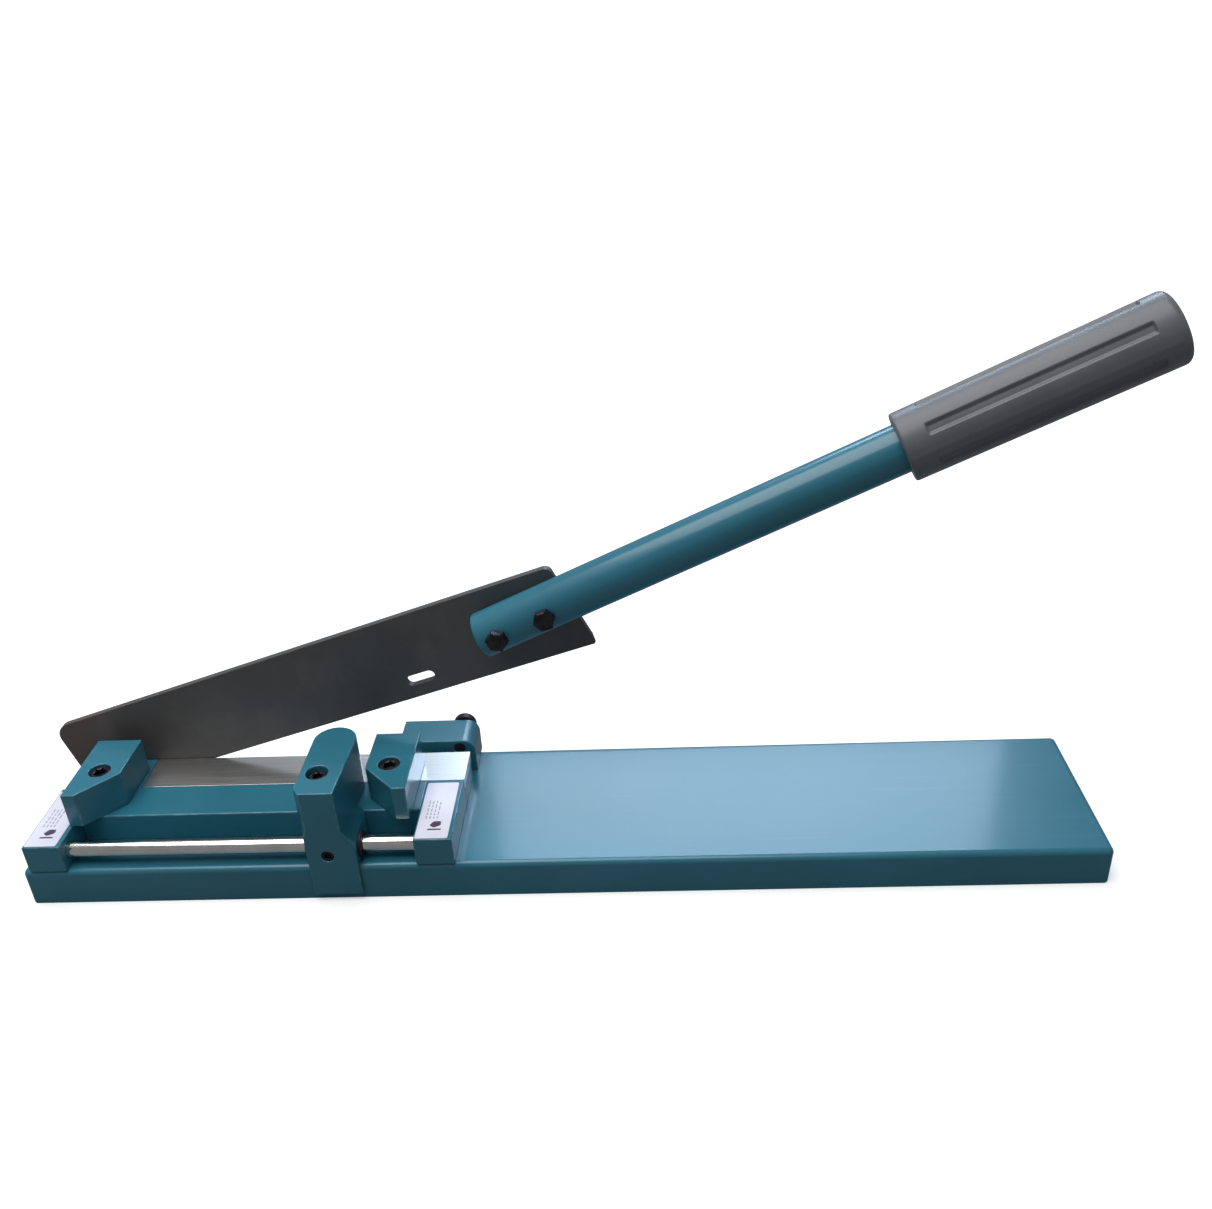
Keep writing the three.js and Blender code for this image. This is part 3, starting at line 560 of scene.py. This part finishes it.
def guide_rod():
    low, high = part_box("guide_rod")
    length, radius, chamfer = (high.x - low.x) / MM, 4.0, 0.6
    bm = stacked([(radius - chamfer, 0), (radius, chamfer), (radius, length - chamfer),
                  (radius - chamfer, length)], 72)
    place = Vector((low.x, (low.y + high.y) / 2, (low.z + high.z) / 2))
    moved(bm, facing((1, 0, 0), place))
    set_down(bm, "slider_rod", "base", CHROME, ("guide_rod",))


# ---------------------------------------------------------------------------- fasteners


def cap_screw(radius, head_radius, head_height, key, length):
    """Socket-head screw along Z: the head stands on zero, the shank runs down."""
    floor = head_height * 0.45
    rings = [
        (0.6, floor - 0.5), (hexagon_of(key * 2), floor), (hexagon_of(key * 2), head_height - 0.35),
        (key * 1.2, head_height), (head_radius - 0.55, head_height),
        (head_radius - 0.15, head_height - 0.25),
        (knurled_of(head_radius), head_height - 0.6), (knurled_of(head_radius), 0.5),
        (head_radius - 0.3, 0.05), (head_radius - 0.6, 0.0), (radius, 0.0), (radius, -length * 0.4),
        *thread_rings(radius, -length * 0.42, -length + 0.5), (radius * 0.8, -length),
    ]
    return stacked(rings, 72)


def socket_screws():
    """Every cap screw stands where its node stands, head up or head down."""
    m5 = (2.5, 4.25, 5.0, 2.3)
    m6 = (3.0, 5.0, 6.0, 2.9)
    below = ["left_block_screw", "right_block_screw", "bar_screw_1", "bar_screw_2", "blade_screw_1",
             "blade_screw_2", "pivot_block_screw", "guide_screw_1", "guide_screw_2"]
    rows = [(node, m5, -1, "base") for node in below]
    rows += [("left_jaw_screw", m6, 1, "base"), ("right_jaw_screw", m6, 1, "base"),
             ("slider_clamp_screw", m5, 1, "slider")]
    for node, size, up, body in rows:
        low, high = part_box(node)
        length = (high.z - low.z) / MM - size[2]
        seat = high.z - size[2] * MM if up > 0 else low.z + size[2] * MM
        place = Vector(((low.x + high.x) / 2, (low.y + high.y) / 2, seat))
        bm = moved(cap_screw(*size, length), facing((0, 0, up), place))
        set_down(bm, node + "_fine", body, OXIDE, (node,))


def lock_screw():
    """Headless screw in the slider's front, socket outwards."""
    low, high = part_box("slider_lock_screw")
    radius, key = 3.0, 1.7
    length = (high.y - low.y) / MM
    floor = -length * 0.5
    rings = [(0.4, floor - 0.4), (hexagon_of(key * 2), floor), (hexagon_of(key * 2), -0.3),
             (key * 1.25, 0.0), (radius - 0.45, 0.0), (radius, -0.4),
             *thread_rings(radius, -0.5, -length + 0.4, 0.8, 0.25), (radius * 0.7, -length)]
    place = Vector(((low.x + high.x) / 2, low.y, (low.z + high.z) / 2))
    bm = moved(stacked(rings, 60), facing((0, -1, 0), place))
    set_down(bm, "lock_screw_fine", "lock_screw", OXIDE, ("slider_lock_screw",))


def washer_rings(inner, outer, thickness, ease=0.2):
    return [(inner, ease), (inner + ease, 0), (outer - ease, 0), (outer, ease), (outer, thickness - ease),
            (outer - ease, thickness), (inner + ease, thickness), (inner, thickness - ease)]


def hex_nut(across, bore, height):
    rings = [(bore, 0.35), (bore + 0.4, 0), (across * 0.47, 0), (hexagon_of(across), 0.55),
             (hexagon_of(across), height - 0.55), (across * 0.47, height), (bore + 0.4, height),
             (bore, height - 0.35)]
    return stacked(rings, 72, closed=True)


def hex_bolt(across, head_height, radius, length):
    """Six-sided bolt along Z: its head stands on zero with a small washer face."""
    rings = [(radius, -length * 0.3), (radius, -0.01), (across * 0.46, 0.0), (across * 0.46, 0.25),
             (hexagon_of(across), 0.3), (hexagon_of(across), head_height - 0.6),
             (across * 0.47, head_height), (across * 0.2, head_height - 0.12)]
    shank = [(radius * 0.8, -length), *reversed(thread_rings(radius, -length * 0.62, -length + 0.4))]
    return stacked(shank + rings, 72)


def handle_fasteners():
    lever = lever_frame()
    across, head_height, radius = 10.0, 4.0, 3.0
    for number, step in enumerate(HANDLE_BOLTS, 1):
        name = f"handle_bolt_{number}"
        low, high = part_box(name)
        along = TUBE_AT[0] + step * math.cos(TUBE_ANGLE)
        up = TUBE_AT[1] + step * math.sin(TUBE_ANGLE)
        place = lever @ Vector((along * MM, 0, up * MM))
        head_face = Vector((place.x, low.y + head_height * MM, place.z))
        length = (high.y - low.y) / MM - head_height
        turn = Matrix.Rotation(math.radians(24 * number), 4, "Z")
        bm = moved(hex_bolt(across, head_height, radius, length), facing((0, -1, 0), head_face) @ turn)
        set_down(bm, f"tube_bolt_{number}", "lever", OXIDE, (name,))

        low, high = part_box(f"handle_washer_{number}")
        rings = washer_rings(radius + 0.15, 6.2, (high.y - low.y) / MM)
        bm = moved(stacked(rings, 60, closed=True), facing((0, 1, 0), Vector((place.x, low.y, place.z))))
        set_down(bm, f"tube_washer_{number}", "lever", OXIDE,
                 (f"handle_washer_{number}",))

        low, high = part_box(f"handle_nut_{number}")
        bm = moved(hex_nut(across, radius + 0.12, (high.y - low.y) / MM),
                   facing((0, 1, 0), Vector((place.x, low.y, place.z))) @ turn)
        set_down(bm, f"tube_nut_{number}", "lever", OXIDE, (f"handle_nut_{number}",))


def split_washer(inner, outer, thickness):
    """A coil washer cut through at one side; its ends sit level with its faces."""
    bm = stacked(washer_rings(inner, outer, thickness, 0.12), 60, closed=True)
    gap = math.radians(7)
    for sign in (-1, 1):
        normal = Vector((-math.sin(sign * gap), math.cos(sign * gap), 0)) * sign
        bmesh.ops.bisect_plane(bm, geom=bm.verts[:] + bm.edges[:] + bm.faces[:], plane_co=(0, 0, 0),
                               plane_no=normal)
    inside = [f for f in bm.faces
              if abs(math.atan2(f.calc_center_median().y, f.calc_center_median().x)) < gap * 0.98]
    bmesh.ops.delete(bm, geom=inside, context="FACES")
    open_edges = [edge for edge in bm.edges if edge.is_boundary]
    bmesh.ops.holes_fill(bm, edges=open_edges, sides=0)
    bmesh.ops.recalc_face_normals(bm, faces=bm.faces)
    return bm


def pivot_fasteners():
    at = joint_at["blade_lever"]
    low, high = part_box("pivot_bolt")
    head_height, across, radius = 5.3, 13.0, 4.0
    head_face = Vector((at.x, high.y - head_height * MM, at.z))
    length = (high.y - low.y) / MM - head_height
    bm = moved(hex_bolt(across, head_height, radius, length), facing((0, 1, 0), head_face))
    set_down(bm, "lever_pivot_bolt", "base", OXIDE, ("pivot_bolt",))

    low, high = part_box("pivot_spring_washer")
    bm = split_washer(radius + 0.15, 7.2, (high.y - low.y) / MM)
    moved(bm, facing((0, 1, 0), Vector((at.x, low.y, at.z))))
    set_down(bm, "lever_spring_washer", "base", OXIDE, ("pivot_spring_washer",))

    low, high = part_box("pivot_washer")
    bm = stacked(washer_rings(radius + 0.15, 8.2, (high.y - low.y) / MM), 60, closed=True)
    moved(bm, facing((0, 1, 0), Vector((at.x, low.y, at.z))))
    set_down(bm, "lever_washer", "base", OXIDE, ("pivot_washer",))


def adjusting_bolt():
    """Domed bolt from behind the blade guide."""
    low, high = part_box("guide_adjust_bolt")
    radius, head_radius, head_height = 3.0, 6.5, 5.3
    length = (high.y - low.y) / MM - head_height
    rings = [(radius * 0.8, -length), *reversed(thread_rings(radius, -length * 0.3, -length + 0.4)),
             (radius, -0.2), (radius, 0), (head_radius - 0.3, 0), (head_radius, 0.3)]
    for step in range(6):
        turn = step * math.pi / 12
        rings.append((head_radius - 1.9 * (1 - math.cos(turn)), head_height - 1.9 * (1 - math.sin(turn))))
    rings += [(2.9, head_height), (hexagon_of(5.0), head_height - 0.3), (hexagon_of(5.0), 2.2), (0.6, 1.8)]
    centre = Vector(((low.x + high.x) / 2, high.y - head_height * MM, (low.z + high.z) / 2))
    bm = moved(stacked(rings, 72), facing((0, 1, 0), centre))
    set_down(bm, "guide_bolt", "base", OXIDE, ("guide_adjust_bolt",))


# ---------------------------------------------------------------------------- labels


def rounded_plate(low, high, corner, bottom, top):
    """A thin plate with round upright corners; sizes in metres."""
    bm = bmesh.new()
    bmesh.ops.create_cube(bm, size=1.0)
    centre = Vector(((low[0] + high[0]) / 2, (low[1] + high[1]) / 2, (bottom + top) / 2))
    size = Vector((high[0] - low[0], high[1] - low[1], top - bottom))
    bmesh.ops.scale(bm, vec=size, verts=bm.verts)
    bmesh.ops.translate(bm, vec=centre, verts=bm.verts)
    upright = [e for e in bm.edges if abs((e.verts[0].co - e.verts[1].co).z) > (top - bottom) * 0.5]
    bmesh.ops.bevel(bm, geom=upright, offset=corner, offset_type="OFFSET", segments=6, profile=0.5,
                    affect="EDGES", clamp_overlap=True, material=-1)
    return bm


def label(node, side):
    low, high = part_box(node)
    bm = rounded_plate(low, high, 1.0 * MM, low.z, high.z)
    set_down(bm, side + "_label_film", "base", FILM, (node,))
    top, ink = high.z, high.z + 0.02 * MM
    rng = random.Random(7)
    lines = bmesh.new()
    # A short block of plain dashes in the middle of the film.
    for row in range(4):
        across = low.x + (3.2 + row * 1.9) * MM
        start = low.y + 15 * MM
        for _ in range(5):
            run = rng.uniform(1.6, 3.4) * MM
            if start + run > low.y + 31 * MM:
                break
            joined(lines, rounded_plate((across, start), (across + 0.75 * MM, start + run), 0.15 * MM,
                                        top - 0.005 * MM, ink))
            start += run + 0.9 * MM
    set_down(lines, side + "_label_dashes", "base", INK_GREY)
    # A plain mark near the front: a rounded five-sided spot behind a bar.
    mark = bmesh.new()
    bmesh.ops.create_circle(mark, cap_ends=True, radius=2.7 * MM, segments=5)
    bmesh.ops.scale(mark, vec=(1.25, 0.95, 1), verts=mark.verts)
    corners = mark.verts[:]
    bmesh.ops.bevel(mark, geom=corners, offset=0.7 * MM, offset_type="OFFSET", segments=4, profile=0.5,
                    affect="VERTICES", clamp_overlap=True, material=-1)
    grown = bmesh.ops.extrude_face_region(mark, geom=mark.faces[:])
    raised = [g for g in grown["geom"] if isinstance(g, bmesh.types.BMVert)]
    bmesh.ops.translate(mark, vec=(0, 0, 0.025 * MM), verts=raised)
    bmesh.ops.recalc_face_normals(mark, faces=mark.faces)
    moved(mark, Matrix.Translation(Vector((low.x + 9.2 * MM, low.y + 10.8 * MM, top - 0.005 * MM)))
          @ Matrix.Rotation(0.5, 4, "Z"))
    joined(mark, rounded_plate((low.x + 5.5 * MM, low.y + 6.2 * MM), (low.x + 12.4 * MM, low.y + 7.3 * MM),
                               0.3 * MM, top - 0.005 * MM, ink))
    set_down(mark, side + "_label_mark", "base", INK_DARK)


# ---------------------------------------------------------------------------- slider


def slider_pieces():
    painted("slider", "slider", "sliding_stop", 0.6)
    for node, out in (("slider_bush_left", -1), ("slider_bush_right", 1)):
        low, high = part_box(node)
        bore, sleeve, flange, thick = 4.12, 5.5, 6.6, 1.6
        length = (high.x - low.x) / MM
        rings = [(bore, 0.3), (bore + 0.3, 0), (flange - 0.4, 0), (flange, 0.4), (flange, thick),
                 (sleeve, thick), (sleeve, length), (bore, length)]
        face = low.x if out < 0 else high.x
        place = Vector((face, (low.y + high.y) / 2, (low.z + high.z) / 2))
        bm = moved(stacked(rings, 60, closed=True), facing((-out, 0, 0), place))
        set_down(bm, node + "_fine", "slider", NYLON, (node,))


# ---------------------------------------------------------------------------- lever


def moving_blade():
    """Blackened plate; the bevel along its lower back edge is ground steel."""
    up = lever_frame().to_3x3() @ Vector((0, 0, 1))
    bm = eased(merged_copy("moving_blade"), 0.2, 2)
    for face in bm.faces:
        slope = face.normal.dot(up)
        if face.normal.y > 0.3 and slope < -0.3 and face.calc_area() > 100 * MM * MM:
            face.material_index = 1
    blade = set_down(bm, "cutting_blade", "lever", BLADE_BLACK, ("moving_blade",))
    blade.data.materials.append(GROUND)


def handle_tube():
    ease = 0.5
    rings = [(TUBE_BORE + ease, 0), (TUBE_RADIUS - ease, 0), (TUBE_RADIUS, ease),
             (TUBE_RADIUS, TUBE_LENGTH * 0.33), (TUBE_RADIUS, TUBE_LENGTH * 0.66),
             (TUBE_RADIUS, TUBE_LENGTH - ease), (TUBE_RADIUS - ease, TUBE_LENGTH),
             (TUBE_BORE, TUBE_LENGTH), (TUBE_BORE, ease)]
    bm = moved(stacked(rings, 96, closed=True), tube_frame())
    set_down(bm, "lever_tube", "lever", TEAL, ("handle_tube",))


def smooth_step(value):
    value = min(1.0, max(0.0, value))
    return value * value * (3 - 2 * value)


def grip_skin(height):
    """Outer radius round the grip at a height: six grooves and two faint mould lines."""
    share = height / GRIP_LENGTH
    radius = GRIP_MOUTH + (GRIP_END - GRIP_MOUTH) * share
    inside = min(height - GROOVE_MARGIN, GRIP_LENGTH - GROOVE_MARGIN - height)
    along = smooth_step(inside / 1.2 + 0.5)

    step = 2 * math.pi / GROOVES

    def reach(angle):
        # The angle starts underneath and turns by the back and the top to the front.
        turn = (angle - math.pi - GROOVE_TURN) % step
        away = min(turn, step - turn) * radius
        across = smooth_step((GROOVE_WIDTH / 2 - away) / 1.5 + 0.2)
        seam = abs(math.sin(angle)) ** 400 * MOULD_LINE
        return radius - GROOVE_DEPTH * along * across + seam

    return reach


def grip():
    bore, end_wall, corner = TUBE_RADIUS + 0.12, 9.0, 3.5
    cap = GRIP_LENGTH - end_wall
    rings = [(bore, cap), (bore, cap * 0.5), (bore, 0.6), (bore + 0.6, 0.0), (GRIP_MOUTH - 1.3, 0.0)]
    for step in range(1, 5):
        turn = step * math.pi / 8
        rings.append((GRIP_MOUTH - 1.3 + 1.3 * math.sin(turn), 1.3 * (1 - math.cos(turn))))
    heights = [2.5, 7.0]
    for edge in (GROOVE_MARGIN, GRIP_LENGTH - GROOVE_MARGIN):
        heights += [edge + offset for offset in (-1.0, -0.6, -0.3, 0.0, 0.3, 0.6, 1.0)]
    heights += [18 + 9.0 * i for i in range(11)]
    heights += [GRIP_LENGTH - 8.0, GRIP_LENGTH - 5.0]
    rings += [(grip_skin(height), height) for height in sorted(heights)]
    for step in range(0, 7):
        turn = step * math.pi / 12
        rings.append((GRIP_END - corner * (1 - math.cos(turn)), GRIP_LENGTH - corner * (1 - math.sin(turn))))
    rings += [(9.5, GRIP_LENGTH), (8.6, GRIP_LENGTH - 0.7), (3.0, GRIP_LENGTH - 0.5)]
    bm = stacked(rings, 216)
    moved(bm, tube_frame() @ Matrix.Translation((0, 0, GRIP_START * MM)))
    set_down(bm, "rubber_grip", "lever", RUBBER, ("grip",), sharp=60)


def hidden_pieces():
    """Small nodes inside the others keep their own shape."""
    # The guide pad is black nylon, and its dark also stands in as painted shade on the blade guide's front,
    # where the pad shows through its hole.
    for node, material in (("left_rod_set_screw", OXIDE), ("right_rod_set_screw", OXIDE),
                           ("slider_lock_pad", BRONZE), ("guide_pad", NYLON)):
        data = frame["nodes"][node].data
        data.materials.clear()
        data.materials.append(material)


# ---------------------------------------------------------------------------- room


def lamp(name, place, target, width, height, watts, tint=(1, 1, 1)):
    light = bpy.data.lights.new(name, "AREA")
    light.shape = "RECTANGLE"
    light.size, light.size_y = width, height
    light.energy = watts
    light.color = tint
    obj = bpy.data.objects.new(name, light)
    bpy.context.scene.collection.objects.link(obj)
    obj.matrix_world = facing(Vector(place) - Vector(target), Vector(place))
    return obj


def room():
    bm = bmesh.new()
    bmesh.ops.create_grid(bm, x_segments=1, y_segments=1, size=12.0)
    mesh = bpy.data.meshes.new("floor")
    bm.to_mesh(mesh)
    bm.free()
    floor = bpy.data.objects.new("floor", mesh)
    bpy.context.scene.collection.objects.link(floor)
    material, tree, shader = new_finish("pale_floor", Roughness=0.9, Specular_IOR_Level=0.1,
                                        Emission_Color=(1, 1, 1, 1))
    # The floor shows pale to the eye and bounces less light, as a floor in a darker room does.
    seen = put(tree, "ShaderNodeLightPath").outputs["Is Camera Ray"]
    place = put(tree, "ShaderNodeTexCoord").outputs["Object"]
    away = put(tree, "ShaderNodeVectorMath", operation="LENGTH", _0=place).outputs["Value"]
    glow = maths(tree, "MULTIPLY", ranged(tree, away, 0.5, 2.0, 0.42, 1.0), seen)
    colour = blended(tree, seen, (0.20, 0.20, 0.20, 1), (0.88, 0.88, 0.88, 1))
    feed(tree, shader, Base_Color=colour, Emission_Strength=glow)
    mesh.materials.append(material)

    world = bpy.data.worlds.new("soft_room")
    bpy.context.scene.world = world
    world.use_nodes = True
    sky = world.node_tree.nodes["Background"]
    sky.inputs["Color"].default_value = (1, 1, 1, 1)
    direct = put(world.node_tree, "ShaderNodeLightPath").outputs["Is Camera Ray"]
    strength = ranged(world.node_tree, direct, 0.0, 1.0, 0.22, 1.05)
    world.node_tree.links.new(strength, sky.inputs["Strength"])

    lamp("top_softbox", (-0.35, -0.05, 1.6), (0, 0, 0), 1.6, 1.2, 24)
    # A window behind, which the open deck mirrors, and two dim cards beside it that add very little.
    lamp("back_window", (0.20, 1.25, 1.07), (0.20, 0, 1.07), 0.95, 0.36, 11.6, (0.61, 0.79, 1.0))
    lamp("steel_card", (-0.385, 1.25, 0.965), (-0.385, 0, 0.965), 0.10, 0.08, 0.016)
    lamp("blade_card", (-0.64, 1.25, 0.955), (-0.64, 0, 0.955), 0.34, 0.08, 0.034)
    bpy.context.scene.view_settings.view_transform = "Standard"


def camera():
    data = bpy.data.cameras.new("camera")
    data.lens = LENS
    data.sensor_width = SENSOR_WIDTH
    data.clip_start, data.clip_end = 0.01, 60.0
    obj = bpy.data.objects.new("camera", data)
    bpy.context.scene.collection.objects.link(obj)
    turn = (Matrix.Rotation(CAMERA_YAW, 4, "Z") @ Matrix.Rotation(CAMERA_PITCH, 4, "X")
            @ Matrix.Rotation(CAMERA_ROLL, 4, "Y") @ Matrix.Rotation(math.pi / 2, 4, "X"))
    obj.matrix_world = Matrix.Translation(bench(*CAMERA_AT)) @ turn
    bpy.context.scene.camera = obj


# ---------------------------------------------------------------------------- assembly

camera()
room()
base_sheet()
painted_blocks()
lower_blade()
guide_rod()
socket_screws()
lock_screw()
handle_fasteners()
pivot_fasteners()
adjusting_bolt()
label("left_label", "left")
label("right_label", "right")
slider_pieces()
moving_blade()
handle_tube()
grip()
hidden_pieces()
